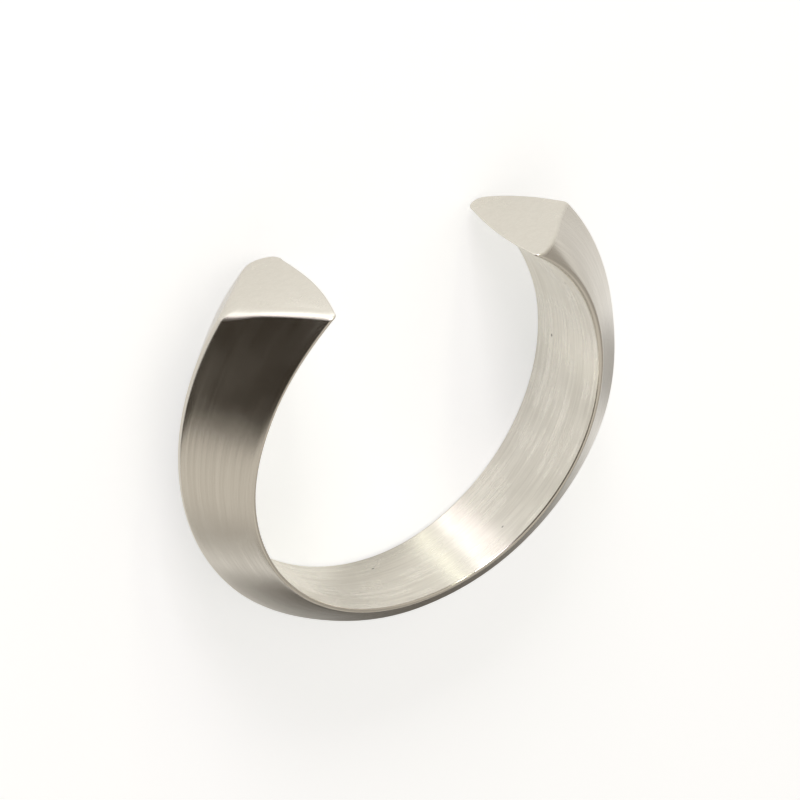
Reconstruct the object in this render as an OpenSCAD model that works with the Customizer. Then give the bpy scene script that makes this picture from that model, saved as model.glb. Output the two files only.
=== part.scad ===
// Open finger ring of solid steel, one piece. The band is triangular in section: a bore side that
// lies on the finger, two sloping flanks and an outer ridge. It widens from the back of the ring to
// its two ends, which are cut off flat, square to the way that the gap opens.
// Frame: +Z is up, +Y points from the back of the ring to the gap, and the origin is the centre of
// the finger hole. The ring lies on its side, on one place of its heel and one of each arm.

/* [Finger hole] */
// Inside diameter of the finger hole
bore_d = 17; // [14:0.1:21]

/* [Band] */
// Width of the band at the back of the ring
back_w = 4.1; // [3:0.1:5]
// Height of the outer ridge above the finger hole at the back of the ring
ridge_h = 2; // [1.5:0.1:2.6]
// Radius of the rounding along the outer ridge at the back of the ring
ridge_r = 0.1; // [0.05:0.01:0.15]
// Radius of the rounding along each rim of the finger hole near the back of the ring
rim_r = 0.1; // [0.05:0.01:0.15]

/* [Ends] */
// Height of the left end above the centre of the finger hole, as a share of the hole's radius
left_reach = 0.963; // [0.75:0.001:0.97]
// Height of the right end above the centre of the finger hole, as a share of the hole's radius
right_reach = 0.748; // [0.6:0.002:0.86]
// How far the front rim stands outside the finger hole at the left end
left_flare = 0.9; // [0:0.02:1]
// How far the middle of the bore side stands outside the finger hole at the left end
left_relief = 0.26; // [0:0.01:0.5]

/* [Hidden] */

// Sections of the band, counted in degrees round the finger hole from the back of the ring, with
// the left arm negative. Each row has the angle, the band's width as a share of back_w, the ridge's
// height as a share of ridge_h, the roundings of the front and back rims as shares of rim_r and the
// rounding of the ridge as a share of ridge_r.
ANGLE = 0;
WIDTH = 1;
RIDGE = 2;
FRONT_RIM = 3;
BACK_RIM = 4;
CREST = 5;
SECTIONS = [
    [-180, 1.51, 1.70, 1.4, 5.6, 3.0],
    [-150, 1.55, 1.48, 1.0, 5.0, 3.0],
    [-120, 1.40, 1.33, 0.7, 2.0, 2.6],
    [-90, 1.22, 1.08, 1.0, 1.0, 1.4],
    [-60, 1.13, 0.87, 1.0, 0.8, 1.0],
    [-30, 1.06, 0.76, 1.0, 0.8, 1.0],
    [0, 1.00, 1.00, 1.0, 0.8, 1.0],
    [30, 1.06, 1.27, 1.0, 0.8, 1.0],
    [60, 1.13, 1.36, 1.0, 0.8, 1.2],
    [90, 1.21, 1.14, 1.4, 0.8, 1.4],
    [120, 1.31, 1.19, 2.0, 1.1, 1.8],
    [150, 1.47, 1.34, 1.8, 7.5, 2.0],
    [180, 1.64, 1.52, 1.8, 7.5, 2.0]
];
STEP = SECTIONS[1][ANGLE] - SECTIONS[0][ANGLE];

// What changes towards the left and the right end, each time by the amount at that end: how far the
// rims stand outside the finger hole, how much wider each half of the band is, and how far the
// front flank, by its half at the rim and its half at the ridge, and the back flank bow outward.
// These amounts grow as the square of the way from the first angle of the span to the second one.
LEFT = 0;
RIGHT = 1;
FRONT_OUT = [left_flare, 0];
BACK_OUT = [left_flare * 0.76, 0];
FRONT_EXTRA = [0.26, -0.08];
BACK_EXTRA = [-0.13, -0.03];
FRONT_RISE = [-0.17, 0.24];
FRONT_FALL = [-0.1, -0.1];
BACK_BOW = [0.02, 0.28];
RIM_SPAN = [[-83, -158], [93, 136]];
// The middle of the left arm's bore side leaves the finger hole between these angles
MIDDLE_SPAN = [-112, -158];

bore_r = bore_d / 2;
left_y = bore_r * left_reach;
right_y = bore_r * right_reach;

// Angles between which the band is lofted, past both cut ends, and the loft's pitch
LOFT_LEFT = -168;
LOFT_RIGHT = 152;
PITCH = 4;
// Facets round each rim, round the ridge and across each flank
RIM_FACETS = 4;
RIDGE_FACETS = 4;
FLANK_FACETS = 4;
// Places across the bore side where the loft has a line, as shares of the half width
BORE_LINES = [0.5, 0, -0.5];
// How far the loft reaches into the finger hole before the hole is cut, the share of that by which
// its bore side is crowned, and the slope at which the bore side then leaves each rim
BORE_STOCK = 0.15;
STOCK_CROWN = 0.3;
RIM_SLOPE = 0.2;
// Facets of the finger hole, round the whole circle
BORE_FACETS = 180;
// Angles of the three places where the lower rim meets the surface that the ring lies on: on the
// left arm, on the heel and on the right arm
FEET_AT = [-114, 51, 111];
STEEL = [0.72, 0.69, 0.63];

function unit(v) = v / norm(v);

function spline(a, b, c, d, t) =
    0.5 * (2 * b + (c - a) * t + (2 * a - 5 * b + 4 * c - d) * t * t + (3 * b - a - 3 * c + d) * t * t * t);

// Value of one column of SECTIONS at any angle of the loft
function column(angle, col) =
    let (u = (angle - SECTIONS[0][ANGLE]) / STEP)
    let (i = min(max(floor(u), 1), len(SECTIONS) - 3))
    spline(SECTIONS[i - 1][col], SECTIONS[i][col], SECTIONS[i + 1][col], SECTIONS[i + 2][col], u - i);

function ramp(angle, span) = max(0, (angle - span[0]) / (span[1] - span[0]));

function towards_ends(angle, amounts) =
    let (shares = [for (span = RIM_SPAN) pow(ramp(angle, span), 2)])
    shares * amounts;

function middle_out(angle) = left_relief * pow(ramp(angle, MIDDLE_SPAN), 2);

// How much of the stock inside the finger hole is there, which fades where the bore side leaves it
function stocked(angle) = max(0, 1 - ramp(angle, MIDDLE_SPAN));

// Place of the loft's bore side before the hole is cut, at the share s of the half width
function bore_side(angle, s) =
    let (middle = middle_out(angle))
    let (rim = towards_ends(angle, s < 0 ? FRONT_OUT : BACK_OUT))
    middle + (rim - middle) * s * s - BORE_STOCK * stocked(angle) * (1 - STOCK_CROWN * s * s);

// Points of a corner rounded with radius r. The corner is at p, its sides leave along the unit
// vectors a and b, and the points run from side a to side b.
function rounded(p, a, b, r, facets) =
    let (middle = unit(a + b))
    let (half = acos(a * b) / 2)
    let (centre = p + middle * r / sin(half))
    let (out = -middle)
    let (side = [-out[1], out[0]])
    let (way = side * a > 0 ? 1 : -1)
    [for (k = [0:facets])
        let (turn = way * (90 - half) * (1 - 2 * k / facets))
        centre + r * (out * cos(turn) + side * sin(turn))];

// Directions in which a flank leaves its first corner and arrives at its last one, where each end
// alone would bow it outward by the given amount
function bowed(first, last, rise, fall) =
    let (along = unit(last - first))
    let (outward = [along[1], -along[0]])
    [for (bow = [rise, -fall])
        let (turn = asin(4 * bow / norm(last - first)))
        along * cos(turn) + outward * sin(turn)];

// Points strictly between two rounded corners, on a smooth curve from one to the other
function flank(first, last, ways) =
    let (reach = norm(last - first) / 3)
    let (b = first + ways[0] * reach)
    let (c = last - ways[1] * reach)
    [for (k = [1:FLANK_FACETS - 1])
        let (t = k / FLANK_FACETS)
        let (rest = 1 - t)
        first * pow(rest, 3) + 3 * b * pow(rest, 2) * t + 3 * c * rest * pow(t, 2) + last * pow(t, 3)];

// Section of the band: distance outward from the finger hole's wall, and place across the width
// with the front half negative
function section(angle) =
    let (half_w = back_w / 2 * column(angle, WIDTH))
    let (front_w = half_w + towards_ends(angle, FRONT_EXTRA))
    let (rear_w = half_w + towards_ends(angle, BACK_EXTRA))
    let (front = [towards_ends(angle, FRONT_OUT), -front_w])
    let (ridge = [ridge_h * column(angle, RIDGE), 0])
    let (back = [towards_ends(angle, BACK_OUT), rear_w])
    let (rise = towards_ends(angle, FRONT_RISE))
    let (fall = towards_ends(angle, FRONT_FALL))
    let (rear = towards_ends(angle, BACK_BOW))
    let (up = bowed(front, ridge, rise, fall))
    let (down = bowed(ridge, back, rear, rear))
    let (middle = middle_out(angle))
    let (slope = RIM_SLOPE * stocked(angle))
    let (front_in = unit([-slope - 2 * (front[0] - middle) / front_w, 1]))
    let (back_in = unit([-slope - 2 * (back[0] - middle) / rear_w, -1]))
    let (front_rim = rounded(front, front_in, up[0], rim_r * column(angle, FRONT_RIM), RIM_FACETS))
    let (crest = rounded(ridge, -up[1], down[0], ridge_r * column(angle, CREST), RIDGE_FACETS))
    let (back_rim = rounded(back, -down[1], back_in, rim_r * column(angle, BACK_RIM), RIM_FACETS))
    concat(
        front_rim,
        flank(front_rim[RIM_FACETS], crest[0], up),
        crest,
        flank(crest[RIDGE_FACETS], back_rim[0], down),
        back_rim,
        [for (s = BORE_LINES) [bore_side(angle, s), s * (s < 0 ? front_w : rear_w)]]
    );

// A section's points in the frame of the finger hole, with the hole's axis along Z
function placed(angle) =
    [for (p = section(angle)) [(bore_r + p[0]) * sin(angle), -(bore_r + p[0]) * cos(angle), -p[1]]];

STATIONS = [LOFT_LEFT:PITCH:LOFT_RIGHT];
LOFT = [for (angle = STATIONS) placed(angle)];
N = len(LOFT[0]);
LAST = len(LOFT) - 1;

// The two triangles between point k and the next one on a station and the same two on the next
function pair(i, k) =
    let (a = i * N + k)
    let (b = i * N + (k + 1) % N)
    [[a, a + N, b], [a + N, b + N, b]];

LOFT_FACES = concat(
    [for (i = [0:LAST - 1], k = [0:N - 1], face = pair(i, k)) face],
    [[for (k = [0:N - 1]) k]],
    [[for (k = [N - 1:-1:0]) LAST * N + k]]
);

// Lowest point of the band at an angle, where it can meet the surface
function foot(angle) =
    let (points = placed(angle))
    let (lowest = min([for (p = points) p[2]]))
    [for (p = points) if (p[2] == lowest) p][0];

// The ring leans back and rolls to its left by the angles that bring its three feet level
FEET = [for (angle = FEET_AT) foot(angle)];
FLOOR_NORMAL = cross(FEET[1] - FEET[0], FEET[2] - FEET[0]);
LEAN = atan2(FLOOR_NORMAL[1], FLOOR_NORMAL[2]);
ROLL = -atan2(FLOOR_NORMAL[0], norm([FLOOR_NORMAL[1], FLOOR_NORMAL[2]]));

BAND_H = back_w * 2;
REACH = bore_d;

module end_cut(side, y) {
    translate([side > 0 ? 0 : -REACH, y, -BAND_H / 2])
        cube([REACH, REACH, BAND_H]);
}

module finger_hole() {
    cylinder(r = bore_r, h = BAND_H, center = true, $fn = BORE_FACETS);
}

module band() {
    color(STEEL)
        rotate([LEAN, ROLL, 0])
            difference() {
                polyhedron(points = [for (s = LOFT, p = s) p], faces = LOFT_FACES, convexity = 6);
                finger_hole();
                end_cut(-1, left_y);
                end_cut(1, right_y);
            }
}

band();
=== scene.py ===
# Open finger ring of satin steel, lying on its side. One fine loft stands for the plainer solid of
# the band. It has the same sections, but its bore side leaves the round a little more at both ends,
# and the roundings along the rims, the ridge and both ends are drawn in full. The band's sizes are
# in millimetres and its angles in degrees, counted round the finger hole from the back of the ring,
# with the left arm negative. Everything else is in metres unless a comment says otherwise.
import math

import bpy
import numpy as np
from mathutils import Matrix, Vector


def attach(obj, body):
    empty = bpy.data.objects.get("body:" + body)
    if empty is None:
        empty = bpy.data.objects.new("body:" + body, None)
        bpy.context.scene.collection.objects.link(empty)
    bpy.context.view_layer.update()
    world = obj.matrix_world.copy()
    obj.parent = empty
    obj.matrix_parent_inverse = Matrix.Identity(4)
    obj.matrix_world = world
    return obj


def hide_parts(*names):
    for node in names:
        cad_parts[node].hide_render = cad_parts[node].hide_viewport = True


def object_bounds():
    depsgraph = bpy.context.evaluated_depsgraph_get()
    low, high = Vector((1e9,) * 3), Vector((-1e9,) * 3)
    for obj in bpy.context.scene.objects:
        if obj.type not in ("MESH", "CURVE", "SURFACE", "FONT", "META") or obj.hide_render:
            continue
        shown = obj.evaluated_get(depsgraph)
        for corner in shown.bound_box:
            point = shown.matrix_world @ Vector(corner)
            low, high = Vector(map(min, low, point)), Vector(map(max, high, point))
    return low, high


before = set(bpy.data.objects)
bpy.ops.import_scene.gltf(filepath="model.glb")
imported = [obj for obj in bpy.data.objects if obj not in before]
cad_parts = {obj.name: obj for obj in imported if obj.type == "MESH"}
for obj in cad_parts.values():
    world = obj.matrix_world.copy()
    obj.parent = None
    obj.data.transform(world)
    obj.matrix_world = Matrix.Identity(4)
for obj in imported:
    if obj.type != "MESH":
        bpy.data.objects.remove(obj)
cad_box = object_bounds()

MM = 0.001

# The finger hole, and the band at the back of the ring
BORE_R = 8.5
BACK_W = 4.1
RIDGE_H = 2.0
# Heights of the two flat ends above the centre of the finger hole
LEFT_Y = 8.185
RIGHT_Y = 6.358
# How far the ring leans back and rolls to its left as it lies on its side
LEAN = 2.369
ROLL = 0.107

# Sections of the band: angle, width and ridge height as shares of those at the back, and the
# radii of the front rim, the back rim and the ridge
ANGLE, WIDTH, RIDGE, FRONT_RIM, BACK_RIM, CREST = range(6)
SECTIONS = np.array([
    (-180, 1.51, 1.70, 0.14, 0.56, 0.30),
    (-150, 1.55, 1.48, 0.10, 0.50, 0.30),
    (-120, 1.40, 1.33, 0.07, 0.20, 0.26),
    (-90, 1.22, 1.08, 0.10, 0.10, 0.14),
    (-60, 1.13, 0.87, 0.10, 0.08, 0.10),
    (-30, 1.06, 0.76, 0.10, 0.08, 0.10),
    (0, 1.00, 1.00, 0.10, 0.08, 0.10),
    (30, 1.06, 1.27, 0.10, 0.08, 0.10),
    (60, 1.13, 1.36, 0.10, 0.08, 0.12),
    (90, 1.21, 1.14, 0.14, 0.08, 0.14),
    (120, 1.31, 1.19, 0.20, 0.11, 0.18),
    (150, 1.47, 1.34, 0.18, 0.75, 0.20),
    (180, 1.64, 1.52, 0.18, 0.75, 0.20),
])
# What changes towards each end, each time by the amount at that end: how far the front rim, the
# middle of the bore side and the back rim stand outside the finger hole, how much wider the front
# and the back half are, and how far the front flank, by its half at the rim and its half at the
# ridge, and the back flank bow outward. The amounts grow as the square of the way from the first
# angle of a span to its second one. MIDDLE_SPAN is for the middle of the bore side, and RIM_SPAN
# for all the rest.
LEFT, RIGHT = -1, 1
FRONT_OUT = {LEFT: 0.90, RIGHT: -0.04}
MIDDLE_OUT = {LEFT: 0.49, RIGHT: -0.22}
BACK_OUT = {LEFT: 0.68, RIGHT: -0.04}
FRONT_EXTRA = {LEFT: 0.26, RIGHT: -0.08}
BACK_EXTRA = {LEFT: -0.13, RIGHT: -0.03}
FRONT_RISE = {LEFT: -0.17, RIGHT: 0.24}
FRONT_FALL = {LEFT: -0.10, RIGHT: -0.10}
BACK_BOW = {LEFT: 0.02, RIGHT: 0.28}
RIM_SPAN = {LEFT: (-83, -158), RIGHT: (93, 136)}
MIDDLE_SPAN = {LEFT: (-112, -158), RIGHT: (92, 136)}

# Steps of the mesh round each corner, across a flank, across the bore side, along the band,
# over an end's rounding and over an end's flat
CORNER_STEPS = 8
FLANK_STEPS = 14
BORE_STEPS = 22
STATIONS = 360
FILLET_STEPS = 8
CAP_STEPS = 8
# The angles on each arm between which its end is looked for, the furthest share of the way to the
# middle that an end's flat begins at, and how often each search halves its range
END_FROM = 95.0
END_TO = 168.0
DEEPEST_FLAT = 0.85
END_HALVINGS = 40
FLAT_HALVINGS = 30
# How far an end's rounding reaches down the band and over the flat, how much further it does at the
# ridge, how far from the ridge that still tells, and how high the flat is crowned
FILLET_DEPTH = {LEFT: 0.15, RIGHT: 0.18}
FILLET_REACH = {LEFT: 0.40, RIGHT: 0.26}
RIDGE_DEPTH = {LEFT: 0.16, RIGHT: 0.10}
RIDGE_REACH = {LEFT: 0.34, RIGHT: 0.14}
RIDGE_SPAN = 1.1
CAP_CROWN = 0.03

# The long dark card that the front flank of the left arm reflects: directions to its middle, along
# it and across it in the frame of the finger hole, the sines of half its length and half its width
# as seen from the ring, the shares of these between which it fades, and its colour
CARD_MIDDLE = (-0.646, 0.762, -0.033)
CARD_LONG_WAY = (0.761, 0.640, -0.109)
CARD_SHORT_WAY = (-0.062, -0.096, -0.994)
CARD_HALF_LENGTH = 0.97
CARD_HALF_WIDTH = 0.844
CARD_FADE = (0.954, 1.013)
CARD_COLOUR = (0.036, 0.028, 0.02, 1)
# The soft shades at the right and in front: the direction to the middle of each, the cosines
# between which it fades in and how deep it is. Then their colour.
SHADES = (
    ((0.80, -0.36, 0.48), (0.60, 0.93), 0.40),
    ((-0.25, -0.95, -0.10), (0.75, 0.97), 0.42),
)
SHADE_COLOUR = (0.05, 0.045, 0.04, 1)
# The studio's own colour as the ring mirrors it, and what lies behind the floor in the picture
STUDIO_COLOUR = (0.74, 0.70, 0.64, 1)
BACKDROP_COLOUR = (0.95, 0.95, 0.95, 1)
# The long soft lamps above the gap: the direction to each in the same frame, its width in metres,
# its power in watts and its colour. Then the way along them, and their distance and length in
# metres.
LAMPS = {
    "white lamp": ((-0.040, 0.965, 0.27), 0.028, 0.16, (0.99, 0.98, 1.0)),
    "cream lamp": ((0.191, 0.947, 0.27), 0.024, 0.12, (0.97, 1.0, 0.80)),
    "rose lamp": ((-0.181, 0.949, 0.27), 0.059, 0.16, (1.0, 0.90, 0.98)),
}
LAMP_LONG_WAY = (0.10, -0.34, 0.93)
LAMP_DISTANCE = 0.30
LAMP_LENGTH = 0.11

# The floor: half its width, its colour, the colour of its glow, the glow's strength in the picture,
# and how rough it is and how much it mirrors
FLOOR_HALF = 1.5
FLOOR_COLOUR = (0.93, 0.93, 0.93, 1)
FLOOR_GLOW_COLOUR = (0.92, 0.96, 1.0, 1)
FLOOR_GLOW_SEEN = 0.42
FLOOR_ROUGHNESS = 0.8
FLOOR_SPECULAR = 0.1
# The floor as the ring mirrors it: its glow, its darker places and a bright one beyond the gap.
# Each place has a middle, the shares of the way along X and Y that count as distance from it, and
# the distances between which it grows. A darker one also has its depth: they lie in front of the
# ring, close to it on the right, further out on the right, and inside it.
FLOOR_GLOW = 0.37
FLOOR_SHADES = (
    ((0.0035, -0.0240, 0), (0.75, 1, 0), (0.0175, 0.010), 1.0),
    ((0.0147, -0.0062, 0), (1, 1, 0), (0.004, 0.001), 0.65),
    ((0.0260, -0.0010, 0), (1, 1, 0), (0.012, 0.003), 0.22),
    ((-0.0005, -0.0080, 0), (1, 1, 0), (0.0026, 0.0008), 0.40),
)
FLOOR_SHADE_COLOUR = (0.19, 0.18, 0.165, 1)
BRIGHT_PATCH_AT = (-0.003, 0.026, 0)
BRIGHT_PATCH_SHARES = (1, 1, 0)
BRIGHT_PATCH_FROM_TO = (0.014, 0.006)
BRIGHT_PATCH_GLOW = 1.1

# The camera's turn to the left, its height and its roll in degrees, its distance in metres, its
# lens in millimetres, and how far it stands to the right and up so that the ring is framed
CAMERA_TURN = 30.58
CAMERA_HEIGHT = 35.19
CAMERA_ROLL = 5.42
CAMERA_DISTANCE = 0.340
CAMERA_LENS = 371.1
CAMERA_RIGHT = 0.0445 * MM
CAMERA_UP = 0.199 * MM
# The width of its film in millimetres, and the nearest and furthest that it sees in metres
FILM_WIDTH = 36
NEAREST = 0.01
FURTHEST = 10


# The band

def spline(a, b, c, d, t):
    """Smooth curve through four values in a row, between the second one and the third one."""
    squared = (2 * a - 5 * b + 4 * c - d) * t**2
    cubed = (3 * b - a - 3 * c + d) * t**3
    return 0.5 * (2 * b + (c - a) * t + squared + cubed)


def column(angle, name):
    """Values of one column of SECTIONS at any angles."""
    rows = SECTIONS[:, name]
    step = SECTIONS[1, ANGLE] - SECTIONS[0, ANGLE]
    u = (angle - SECTIONS[0, ANGLE]) / step
    i = np.clip(np.floor(u).astype(int), 1, len(rows) - 3)
    return spline(rows[i - 1], rows[i], rows[i + 1], rows[i + 2], u - i)


def ramp(angle, span):
    """0 before the first angle of the span, 1 at its second one."""
    return np.maximum(0, (angle - span[0]) / (span[1] - span[0]))


def towards_ends(angle, amounts, spans):
    """An amount that grows towards each end as the square of the way there."""
    return sum(amounts[side] * ramp(angle, spans[side]) ** 2 for side in (LEFT, RIGHT))


def unit(v):
    return v / np.linalg.norm(v, axis=-1, keepdims=True)


def rounded(corner, a, b, radius):
    """Points of rounded corners, from the side that leaves along a to the one along b."""
    middle = unit(a + b)
    half = np.arccos(np.clip((a * b).sum(-1), -1, 1)) / 2
    centre = corner + middle * (radius / np.sin(half))[:, None]
    out = -middle
    side = np.stack([-out[:, 1], out[:, 0]], -1)
    way = np.where((side * a).sum(-1) > 0, 1.0, -1.0)
    share = 1 - 2 * np.arange(CORNER_STEPS + 1) / CORNER_STEPS
    turn = (way * (math.pi / 2 - half))[:, None] * share
    arc = out[:, None] * np.cos(turn)[..., None] + side[:, None] * np.sin(turn)[..., None]
    return centre[:, None] + radius[:, None, None] * arc


def bowed(first, last, rise, fall):
    """Ways in which a flank leaves its first corner and arrives at its last one, where each end
    alone would bow it outward by the given amount."""
    way = last - first
    length = np.linalg.norm(way, axis=-1, keepdims=True)
    along = way / length
    outward = np.stack([along[:, 1], -along[:, 0]], -1)
    ways = []
    for bow, sign in ((rise, 1), (fall, -1)):
        sine = sign * 4 * bow[:, None] / length
        ways.append(along * np.sqrt(1 - sine**2) + outward * sine)
    return ways


def flank(first, leaving, last, arriving):
    """Points strictly between two rounded corners, on a smooth curve from one to the other."""
    share = (np.arange(1, FLANK_STEPS) / FLANK_STEPS)[None, :, None]
    reach = np.linalg.norm(last - first, axis=-1, keepdims=True) / 3
    after_first, before_last = first + leaving * reach, last - arriving * reach
    a, b, c, d = (p[:, None] for p in (first, after_first, before_last, last))
    rest = 1 - share
    return a * rest**3 + 3 * b * rest**2 * share + 3 * c * rest * share**2 + d * share**3


def section(angle):
    """Sections at an array of angles: for each, its lines' distance outward from the finger hole
    and their place across the width, with the front of the band negative."""
    angle = np.asarray(angle, float)
    half_w = BACK_W / 2 * column(angle, WIDTH)
    front_w = half_w + towards_ends(angle, FRONT_EXTRA, RIM_SPAN)
    back_w = half_w + towards_ends(angle, BACK_EXTRA, RIM_SPAN)
    height = RIDGE_H * column(angle, RIDGE)
    middle = towards_ends(angle, MIDDLE_OUT, MIDDLE_SPAN)
    front_out = towards_ends(angle, FRONT_OUT, RIM_SPAN)
    back_out = towards_ends(angle, BACK_OUT, RIM_SPAN)
    one = np.ones_like(height)
    front = np.stack([front_out, -front_w], -1)
    ridge = np.stack([height, 0 * one], -1)
    back = np.stack([back_out, back_w], -1)
    rise = towards_ends(angle, FRONT_RISE, RIM_SPAN)
    fall = towards_ends(angle, FRONT_FALL, RIM_SPAN)
    rear = towards_ends(angle, BACK_BOW, RIM_SPAN)
    up, over = bowed(front, ridge, rise, fall)
    down, under = bowed(ridge, back, rear, rear)
    front_in = unit(np.stack([-2 * (front_out - middle) / front_w, one], -1))
    back_in = unit(np.stack([-2 * (back_out - middle) / back_w, -one], -1))
    front_rim = rounded(front, front_in, up, column(angle, FRONT_RIM))
    crest = rounded(ridge, -over, down, column(angle, CREST))
    back_rim = rounded(back, -under, back_in, column(angle, BACK_RIM))
    first, last = back_rim[:, -1, 1], front_rim[:, 0, 1]
    way = np.arange(1, BORE_STEPS) / BORE_STEPS
    across = first[:, None] + (last - first)[:, None] * way[None]
    share = np.where(across < 0, across / front_w[:, None], across / back_w[:, None])
    rim_out = np.where(across < 0, front_out[:, None], back_out[:, None])
    outward = middle[:, None] + (rim_out - middle[:, None]) * share**2
    bore_side = np.stack([outward, across], -1)
    front_flank = flank(front_rim[:, -1], up, crest[:, 0], over)
    back_flank = flank(crest[:, -1], down, back_rim[:, 0], under)
    return np.concatenate([front_rim, front_flank, crest, back_flank, back_rim, bore_side], axis=1)


# The lines of a section: how many, which one is the ridge, where the bore side begins, and their
# places round the section at the back of the ring
BACK_SECTION = section(np.zeros(1))[0]
LINES = len(BACK_SECTION)
CREST_LINE = CORNER_STEPS + FLANK_STEPS + CORNER_STEPS // 2
BORE_FROM = LINES - BORE_STEPS
LINE_STEPS = np.linalg.norm(np.roll(BACK_SECTION, -1, 0) - BACK_SECTION, axis=1)
LINE_PLACES = np.concatenate([[0], np.cumsum(LINE_STEPS)])


def lines_at(angles):
    """Point of every line of a section, each at its own angle, in the frame of the finger hole."""
    every = np.arange(LINES)
    places = section(angles)[every, every]
    turn = np.radians(angles)
    radius = BORE_R + places[:, 0]
    return np.stack([radius * np.sin(turn), -radius * np.cos(turn), -places[:, 1]], -1)


def angles_at_height(y, side):
    """Angle at which each line crosses the level y on one arm."""
    near, far = np.full(LINES, side * END_FROM), np.full(LINES, side * END_TO)
    for _ in range(END_HALVINGS):
        mid = (near + far) / 2
        below = lines_at(mid)[:, 1] < y
        near, far = np.where(below, mid, near), np.where(below, far, mid)
    return (near + far) / 2


def distance_to(loop, points):
    """Distance in the plane from each point to a closed outline."""
    a = loop
    d = np.roll(loop, -1, 0) - a
    along = ((points[:, None] - a[None]) * d[None]).sum(-1)
    share = along / np.maximum((d**2).sum(-1), 1e-12)[None]
    near = a[None] + np.clip(share, 0, 1)[..., None] * d[None]
    return np.linalg.norm(points[:, None] - near, axis=-1).min(1)


def inset(loop, reach):
    """Points that lie the given distances inside an outline, on the ways to its middle."""
    middle = loop.mean(0)
    low, high = np.zeros(len(loop)), np.full(len(loop), DEEPEST_FLAT)
    for _ in range(FLAT_HALVINGS):
        share = (low + high) / 2
        deep = distance_to(loop, loop + (middle - loop) * share[:, None]) > reach
        low, high = np.where(deep, low, share), np.where(deep, share, high)
    return loop + (middle - loop) * ((low + high) / 2)[:, None], middle


def near_ridge():
    """For each line, 1 at the ridge and falling smoothly to 0 at RIDGE_SPAN from it."""
    gap = np.abs(LINE_PLACES[:LINES] - LINE_PLACES[CREST_LINE])
    return 0.5 + 0.5 * np.cos(math.pi * np.clip(gap / RIDGE_SPAN, 0, 1))


def end_depth(side):
    return FILLET_DEPTH[side] + RIDGE_DEPTH[side] * near_ridge()


def end_rows(side, y):
    """Rows of points over an end, from its rounded edge to the flat's middle, and that middle."""
    depth = end_depth(side)
    reach = FILLET_REACH[side] + RIDGE_REACH[side] * near_ridge()
    edge = lines_at(angles_at_height(y, side))
    start = lines_at(angles_at_height(y - depth, side))
    flat, middle = inset(edge[:, [0, 2]], reach)
    flat = np.stack([flat[:, 0], np.full(LINES, y - CAP_CROWN), flat[:, 1]], -1)
    rows = []
    for k in range(1, FILLET_STEPS + 1):
        t = k / FILLET_STEPS
        rows.append(edge + (start - edge) * (1 - t) ** 2 + (flat - edge) * t**2)
    centre = np.array([middle[0], y, middle[1]])
    for k in range(1, CAP_STEPS):
        t = k / CAP_STEPS
        row = flat + (centre - flat) * t
        row[:, 1] = y - CAP_CROWN * (1 - t) ** 2
        rows.append(row)
    return rows, centre


LEANED_BACK = Matrix.Rotation(math.radians(LEAN), 3, "X")
LAID_DOWN = Matrix.Rotation(math.radians(ROLL), 3, "Y") @ LEANED_BACK

# The finishes in the order of the band's materials
FLANK, BORE, END = range(3)


def ways_along(station, line, after, first, last):
    """Ways along the band, in millimetres, of a face's four corners between two stations."""
    def at(k, s):
        angle = first[k] + (last[k] - first[k]) * s / (STATIONS - 1)
        return math.radians(float(angle)) * BORE_R
    return at(line, station), at(after, station), at(after, station + 1), at(line, station + 1)


def band_mesh():
    """The band as one closed mesh, with a map of the way along it and the way across it."""
    first = angles_at_height(LEFT_Y - end_depth(LEFT), LEFT)
    last = angles_at_height(RIGHT_Y - end_depth(RIGHT), RIGHT)
    stations = [lines_at(first + (last - first) * k / (STATIONS - 1)) for k in range(STATIONS)]
    left_rows, left_centre = end_rows(LEFT, LEFT_Y)
    right_rows, right_centre = end_rows(RIGHT, RIGHT_Y)
    rows = left_rows[::-1] + stations + right_rows
    points = np.concatenate(rows + [left_centre[None], right_centre[None]])
    total = len(rows)
    faces, finishes, places = [], [], []
    for i in range(total - 1):
        on_end = i < len(left_rows) or i >= len(left_rows) + STATIONS - 1
        for k in range(LINES):
            n = (k + 1) % LINES
            corners = (i * LINES + k, i * LINES + n, (i + 1) * LINES + n, (i + 1) * LINES + k)
            faces.append(corners)
            finishes.append(END if on_end else BORE if k >= BORE_FROM else FLANK)
            if on_end:
                places.append([(points[c][0], points[c][2]) for c in corners])
            else:
                across = (LINE_PLACES[k], LINE_PLACES[k + 1], LINE_PLACES[k + 1], LINE_PLACES[k])
                along = ways_along(i - len(left_rows), k, n, first, last)
                places.append(list(zip(along, across)))
    for k in range(LINES):
        n = (k + 1) % LINES
        last_row = (total - 1) * LINES
        for corners in ((total * LINES, n, k), (total * LINES + 1, last_row + k, last_row + n)):
            faces.append(corners)
            finishes.append(END)
            places.append([(points[c][0], points[c][2]) for c in corners])
    mesh = bpy.data.meshes.new("steel_band")
    leaned = [LAID_DOWN @ Vector(p) * MM for p in points.tolist()]
    mesh.from_pydata(leaned, [], faces)
    layer = mesh.uv_layers.new(name="brushing")
    ways = [way for face in places for way in face]
    layer.data.foreach_set("uv", np.array(ways, dtype=np.float32).ravel())
    mesh.polygons.foreach_set("material_index", np.array(finishes, dtype=np.int32))
    mesh.polygons.foreach_set("use_smooth", np.ones(len(faces), dtype=bool))
    mesh.validate()
    mesh.update()
    return mesh


# Finishes

# Noise of the brushing: the scale, detail and roughness of its fine streaks, of its broad ones and
# of its worn patches, the shares of fine and broad streaks, and the values between which the
# streaks and the worn patches show
FINE_STREAKS = (1.0, 3.0, 0.65)
BROAD_STREAKS = (0.31, 2.0, 0.5)
WORN_PATCHES = (0.55, 2.0, 0.5)
FINE_SHARE = 0.6
BROAD_SHARE = 0.4
STREAK_FROM_TO = (0.34, 0.66)
WORN_FROM_TO = (0.3, 0.7)
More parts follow.
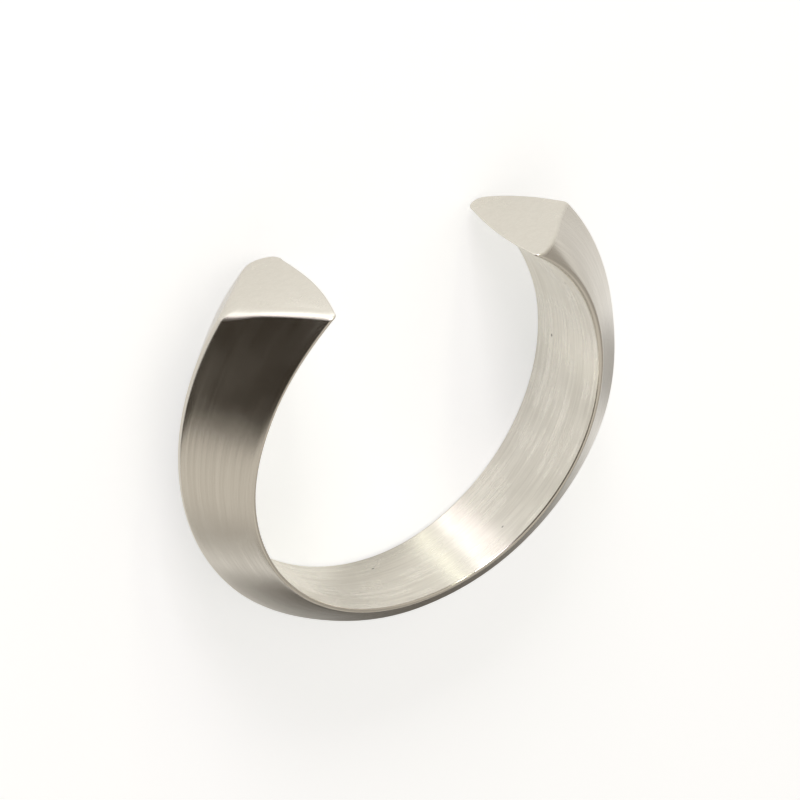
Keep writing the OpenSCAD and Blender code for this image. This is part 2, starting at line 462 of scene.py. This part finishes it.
# The pits: the share of the way along the brushing that counts, which draws them out, the share of
# their reach that is fully deep, the chance above which a place has one, their depth in heights of
# a streak, and their colour
PIT_STRETCH = 0.45
PIT_FLOOR = 0.4
PIT_CHANCE = 0.66
PIT_DEPTH = 4.0
PIT_COLOUR = (0.09, 0.08, 0.06, 1)
# Turn of the long highlights, as a share of the full circle: across the brushing
HIGHLIGHT_TURN = 0.25
# Places of the colour sockets on a mixing node: first colour, second colour and result
FIRST_COLOUR, SECOND_COLOUR, MIXED_COLOUR = 6, 7, 2


def node(tree, kind, **settings):
    made = tree.nodes.new(kind)
    for name, value in settings.items():
        setattr(made, name, value)
    return made


def feed(tree, socket, value):
    """Sets a socket to a value, or links it to another node's output."""
    if isinstance(value, bpy.types.NodeSocket):
        tree.links.new(value, socket)
    else:
        socket.default_value = value


def maths(tree, operation, *values, clamp=False):
    made = node(tree, "ShaderNodeMath", operation=operation, use_clamp=clamp)
    for socket, value in zip(made.inputs, values):
        feed(tree, socket, value)
    return made.outputs[0]


def mapped(tree, value, low, high, to_low, to_high):
    """A value taken smoothly from one range to another."""
    made = node(tree, "ShaderNodeMapRange", interpolation_type="SMOOTHSTEP")
    sockets = ("Value", "From Min", "From Max", "To Min", "To Max")
    for name, given in zip(sockets, (value, low, high, to_low, to_high)):
        feed(tree, made.inputs[name], given)
    return made.outputs[0]


def mixed_value(tree, share, first, second):
    made = node(tree, "ShaderNodeMix", data_type="FLOAT")
    for name, given in (("Factor", share), ("A", first), ("B", second)):
        feed(tree, made.inputs[name], given)
    return made.outputs["Result"]


def mixed_colour(tree, share, first, second):
    made = node(tree, "ShaderNodeMix", data_type="RGBA")
    feed(tree, made.inputs["Factor"], share)
    feed(tree, made.inputs[FIRST_COLOUR], first)
    feed(tree, made.inputs[SECOND_COLOUR], second)
    return made.outputs[MIXED_COLOUR]


def noise(tree, place, scale, detail, roughness):
    made = node(tree, "ShaderNodeTexNoise", noise_dimensions="3D")
    feed(tree, made.inputs["Vector"], place)
    made.inputs["Scale"].default_value = scale
    made.inputs["Detail"].default_value = detail
    made.inputs["Roughness"].default_value = roughness
    return made.outputs["Fac"]


def new_group(name, inputs, outputs):
    """An empty shader node group with named sockets, and its input and output nodes."""
    tree = bpy.data.node_groups.new(name, "ShaderNodeTree")
    for socket, kind in inputs:
        tree.interface.new_socket(socket, in_out="INPUT", socket_type=kind)
    for socket, kind in outputs:
        tree.interface.new_socket(socket, in_out="OUTPUT", socket_type=kind)
    return tree, node(tree, "NodeGroupInput"), node(tree, "NodeGroupOutput")


def brushing_group():
    """Fine streaks of a satin finish. Place is the way along and across in millimetres, and the
    streaks and the worn patches come out between 0 and 1."""
    tree, given, out = new_group(
        "satin brushing",
        [
            ("Place", "NodeSocketVector"),
            ("Streak length", "NodeSocketFloat"),
            ("Streak width", "NodeSocketFloat"),
        ],
        [("Streaks", "NodeSocketFloat"), ("Patches", "NodeSocketFloat")])
    place = node(tree, "ShaderNodeSeparateXYZ")
    feed(tree, place.inputs[0], given.outputs["Place"])
    stretched = node(tree, "ShaderNodeCombineXYZ")
    along = maths(tree, "DIVIDE", place.outputs[0], given.outputs["Streak length"])
    across = maths(tree, "DIVIDE", place.outputs[1], given.outputs["Streak width"])
    feed(tree, stretched.inputs[0], along)
    feed(tree, stretched.inputs[1], across)
    fine = noise(tree, stretched.outputs[0], *FINE_STREAKS)
    broad = noise(tree, stretched.outputs[0], *BROAD_STREAKS)
    broad_part = maths(tree, "MULTIPLY", broad, BROAD_SHARE)
    both = maths(tree, "MULTIPLY_ADD", fine, FINE_SHARE, broad_part)
    feed(tree, out.inputs["Streaks"], mapped(tree, both, *STREAK_FROM_TO, 0.0, 1.0))
    feed(tree, out.inputs["Patches"], noise(tree, given.outputs["Place"], *WORN_PATCHES))
    return tree


def pits_group():
    """A few small pits and nicks, drawn out along the brushing. The mask is 1 in a pit."""
    tree, given, out = new_group(
        "small pits",
        [
            ("Place", "NodeSocketVector"),
            ("Spacing", "NodeSocketFloat"),
            ("Size", "NodeSocketFloat"),
        ],
        [("Pits", "NodeSocketFloat")])
    place = node(tree, "ShaderNodeSeparateXYZ")
    feed(tree, place.inputs[0], given.outputs["Place"])
    drawn_out = node(tree, "ShaderNodeCombineXYZ")
    feed(tree, drawn_out.inputs[0], maths(tree, "MULTIPLY", place.outputs[0], PIT_STRETCH))
    feed(tree, drawn_out.inputs[1], place.outputs[1])
    cells = node(tree, "ShaderNodeTexVoronoi", voronoi_dimensions="2D")
    feed(tree, cells.inputs["Vector"], drawn_out.outputs[0])
    feed(tree, cells.inputs["Scale"], maths(tree, "DIVIDE", 1.0, given.outputs["Spacing"]))
    chance = node(tree, "ShaderNodeSeparateColor")
    feed(tree, chance.inputs[0], cells.outputs["Color"])
    size = maths(tree, "MULTIPLY", given.outputs["Size"], chance.outputs[1])
    reach = maths(tree, "DIVIDE", size, given.outputs["Spacing"])
    deep = maths(tree, "MULTIPLY", reach, PIT_FLOOR)
    inside = mapped(tree, cells.outputs["Distance"], reach, deep, 0.0, 1.0)
    chosen = maths(tree, "GREATER_THAN", chance.outputs[0], PIT_CHANCE)
    feed(tree, out.inputs["Pits"], maths(tree, "MULTIPLY", inside, chosen))
    return tree


BRUSHING = brushing_group()
PITS = pits_group()


def steel(name, light, dark, roughness, grain, streaks, anisotropy, relief, pits=None):
    """A satin steel: colours of its raised and deep streaks, its roughness and how much the streaks
    change it, its streaks' length and width in millimetres, the stretch of its highlights, its
    relief in metres, and its pits' spacing and size in millimetres."""
    material = bpy.data.materials.new(name)
    material.use_nodes = True
    tree = material.node_tree
    shader = tree.nodes["Principled BSDF"]
    shader.inputs["Metallic"].default_value = 1.0
    shader.inputs["Anisotropic"].default_value = anisotropy
    shader.inputs["Anisotropic Rotation"].default_value = HIGHLIGHT_TURN
    tangent = node(tree, "ShaderNodeTangent", direction_type="UV_MAP", uv_map="brushing")
    feed(tree, shader.inputs["Tangent"], tangent.outputs[0])
    place = node(tree, "ShaderNodeUVMap", uv_map="brushing").outputs[0]
    brushed = node(tree, "ShaderNodeGroup", node_tree=BRUSHING)
    feed(tree, brushed.inputs["Place"], place)
    brushed.inputs["Streak length"].default_value = streaks[0]
    brushed.inputs["Streak width"].default_value = streaks[1]
    raised = brushed.outputs["Streaks"]
    height = raised
    colour = mixed_colour(tree, raised, (*dark, 1), (*light, 1))
    if pits:
        pitted = node(tree, "ShaderNodeGroup", node_tree=PITS)
        feed(tree, pitted.inputs["Place"], place)
        pitted.inputs["Spacing"].default_value = pits[0]
        pitted.inputs["Size"].default_value = pits[1]
        colour = mixed_colour(tree, pitted.outputs["Pits"], colour, PIT_COLOUR)
        sunk = maths(tree, "MULTIPLY", pitted.outputs["Pits"], PIT_DEPTH)
        height = maths(tree, "SUBTRACT", height, sunk)
    feed(tree, shader.inputs["Base Color"], colour)
    worn = mapped(tree, brushed.outputs["Patches"], *WORN_FROM_TO, -grain / 2, grain / 2)
    deepest = maths(tree, "ADD", worn, roughness + grain / 2)
    feed(tree, shader.inputs["Roughness"], maths(tree, "MULTIPLY_ADD", raised, -grain, deepest))
    bump = node(tree, "ShaderNodeBump")
    bump.inputs["Distance"].default_value = relief
    feed(tree, bump.inputs["Height"], height)
    feed(tree, shader.inputs["Normal"], bump.outputs[0])
    return material


band = bpy.data.objects.new("steel_band", band_mesh())
bpy.context.scene.collection.objects.link(band)
band.data.materials.append(steel(
    "flank steel", light=(0.70, 0.665, 0.60), dark=(0.63, 0.595, 0.53), roughness=0.22, grain=0.05,
    streaks=(6.0, 0.05), anisotropy=0.55, relief=0.4e-6))
# The bore steel's light and dark streaks are the brushing's own tone, but its colour is set well
# lighter than the flank and end steels' as painted light that brightens the bore.
band.data.materials.append(steel(
    "bore steel with painted light", light=(0.90, 0.87, 0.79), dark=(0.79, 0.76, 0.685), roughness=0.29, grain=0.06,
    streaks=(2.0, 0.06), anisotropy=1.0, relief=2.0e-6, pits=(2.0, 0.16)))
band.data.materials.append(steel(
    "end steel", light=(0.73, 0.70, 0.63), dark=(0.69, 0.66, 0.59), roughness=0.30, grain=0.04,
    streaks=(0.12, 0.06), anisotropy=0.0, relief=0.3e-6))
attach(band, "root")
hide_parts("band")


# Floor, light and camera

def floor_patch(tree, place, middle, shares, from_to):
    """1 at the middle of a soft patch on the floor, falling smoothly to 0 round it."""
    way = node(tree, "ShaderNodeVectorMath", operation="SUBTRACT")
    feed(tree, way.inputs[0], place)
    way.inputs[1].default_value = middle
    counted = node(tree, "ShaderNodeVectorMath", operation="MULTIPLY")
    feed(tree, counted.inputs[0], way.outputs["Vector"])
    counted.inputs[1].default_value = shares
    distance = node(tree, "ShaderNodeVectorMath", operation="LENGTH")
    feed(tree, distance.inputs[0], counted.outputs["Vector"])
    return mapped(tree, distance.outputs["Value"], *from_to, 0.0, 1.0)


def floor_piece(level):
    """A wide pale floor under the ring."""
    corners = [
        (x * FLOOR_HALF, y * FLOOR_HALF, level) for x, y in ((-1, -1), (1, -1), (1, 1), (-1, 1))]
    mesh = bpy.data.meshes.new("floor")
    mesh.from_pydata(corners, [], [(0, 1, 2, 3)])
    material = bpy.data.materials.new("pale floor")
    material.use_nodes = True
    shader = material.node_tree.nodes["Principled BSDF"]
    shader.inputs["Roughness"].default_value = FLOOR_ROUGHNESS
    shader.inputs["Specular IOR Level"].default_value = FLOOR_SPECULAR
    shader.inputs["Emission Color"].default_value = FLOOR_GLOW_COLOUR
    tree = material.node_tree
    place = node(tree, "ShaderNodeTexCoord").outputs["Object"]
    seen = node(tree, "ShaderNodeLightPath").outputs["Is Camera Ray"]
    mirrored = maths(tree, "SUBTRACT", 1.0, seen)
    dark = 0.0
    for middle, shares, from_to, depth in FLOOR_SHADES:
        patch = floor_patch(tree, place, middle, shares, from_to)
        dark = maths(tree, "MAXIMUM", maths(tree, "MULTIPLY", patch, depth), dark)
    dark = maths(tree, "MULTIPLY", dark, mirrored)
    colour = mixed_colour(tree, dark, FLOOR_COLOUR, FLOOR_SHADE_COLOUR)
    feed(tree, shader.inputs["Base Color"], colour)
    bright = floor_patch(tree, place, BRIGHT_PATCH_AT, BRIGHT_PATCH_SHARES, BRIGHT_PATCH_FROM_TO)
    unlit = mixed_value(tree, dark, FLOOR_GLOW, 0.0)
    reflected = maths(tree, "MULTIPLY_ADD", bright, BRIGHT_PATCH_GLOW, unlit)
    glow = mixed_value(tree, seen, reflected, FLOOR_GLOW_SEEN)
    feed(tree, shader.inputs["Emission Strength"], glow)
    mesh.materials.append(material)
    floor = bpy.data.objects.new("floor", mesh)
    bpy.context.scene.collection.objects.link(floor)


def along_way(tree, direction, way):
    """Cosine between a direction and a fixed way given in the frame of the finger hole."""
    made = node(tree, "ShaderNodeVectorMath", operation="DOT_PRODUCT")
    feed(tree, made.inputs[0], direction)
    made.inputs[1].default_value = (LAID_DOWN @ Vector(way)).normalized()
    return made.outputs["Value"]


def dark_card(tree, direction):
    """1 over the dark card, falling smoothly to 0 past its edge."""
    along = maths(tree, "DIVIDE", along_way(tree, direction, CARD_LONG_WAY), CARD_HALF_LENGTH)
    across = maths(tree, "DIVIDE", along_way(tree, direction, CARD_SHORT_WAY), CARD_HALF_WIDTH)
    squares = maths(tree, "MULTIPLY_ADD", along, along, maths(tree, "MULTIPLY", across, across))
    oval = mapped(tree, maths(tree, "SQRT", squares), *CARD_FADE, 1.0, 0.0)
    ahead = maths(tree, "GREATER_THAN", along_way(tree, direction, CARD_MIDDLE), 0.0)
    return maths(tree, "MULTIPLY", oval, ahead)


def studio_light():
    """An even pale studio, with one dark card that the left arm's front flank reflects and two soft
    shades, which the right arm's front rim and the lower part of the left arm reflect."""
    world = bpy.data.worlds.new("studio")
    world.use_nodes = True
    bpy.context.scene.world = world
    tree = world.node_tree
    tree.nodes.clear()
    direction = node(tree, "ShaderNodeTexCoord").outputs["Generated"]
    colour = mixed_colour(tree, dark_card(tree, direction), STUDIO_COLOUR, CARD_COLOUR)
    for middle, from_to, depth in SHADES:
        shade = mapped(tree, along_way(tree, direction, middle), *from_to, 0.0, depth)
        colour = mixed_colour(tree, shade, colour, SHADE_COLOUR)
    seen = node(tree, "ShaderNodeLightPath").outputs["Is Camera Ray"]
    colour = mixed_colour(tree, seen, colour, BACKDROP_COLOUR)
    background = node(tree, "ShaderNodeBackground")
    feed(tree, background.inputs["Color"], colour)
    background.inputs["Strength"].default_value = 1.0
    out = node(tree, "ShaderNodeOutputWorld")
    feed(tree, out.inputs["Surface"], background.outputs[0])


def softbox(name, direction, width, power, colour):
    """A long soft lamp that faces the ring."""
    light = bpy.data.lights.new(name, "AREA")
    light.shape = "RECTANGLE"
    light.size = width
    light.size_y = LAMP_LENGTH
    light.energy = power
    light.color = colour
    lamp = bpy.data.objects.new(name, light)
    towards = (LAID_DOWN @ Vector(direction)).normalized()
    along = LAID_DOWN @ Vector(LAMP_LONG_WAY)
    along = (along - along.dot(towards) * towards).normalized()
    axes = Matrix((along.cross(towards), along, towards)).transposed()
    lamp.matrix_world = Matrix.Translation(towards * LAMP_DISTANCE) @ axes.to_4x4()
    bpy.context.scene.collection.objects.link(lamp)


def place_camera():
    turn, height, roll = (math.radians(a) for a in (CAMERA_TURN, CAMERA_HEIGHT, CAMERA_ROLL))
    level = math.cos(height)
    towards = Vector((-math.sin(turn) * level, math.sin(height), math.cos(turn) * level))
    level_right = (-towards).cross(Vector((0, 1, 0))).normalized()
    level_down = (-towards).cross(level_right)
    right = level_right * math.cos(roll) + level_down * math.sin(roll)
    up = level_right * math.sin(roll) - level_down * math.cos(roll)
    axes = LAID_DOWN @ Matrix((right, up, towards)).transposed()
    place = LAID_DOWN @ (towards * CAMERA_DISTANCE + right * CAMERA_RIGHT + up * CAMERA_UP)
    data = bpy.data.cameras.new("camera")
    data.lens = CAMERA_LENS
    data.sensor_width = FILM_WIDTH
    data.clip_start = NEAREST
    data.clip_end = FURTHEST
    camera = bpy.data.objects.new("camera", data)
    camera.matrix_world = Matrix.Translation(place) @ axes.to_4x4()
    bpy.context.scene.collection.objects.link(camera)
    bpy.context.scene.camera = camera


floor_piece(cad_box[0][2])
studio_light()
for lamp_name, lamp_values in LAMPS.items():
    softbox(lamp_name, *lamp_values)
place_camera()
bpy.context.scene.view_settings.view_transform = "Standard"
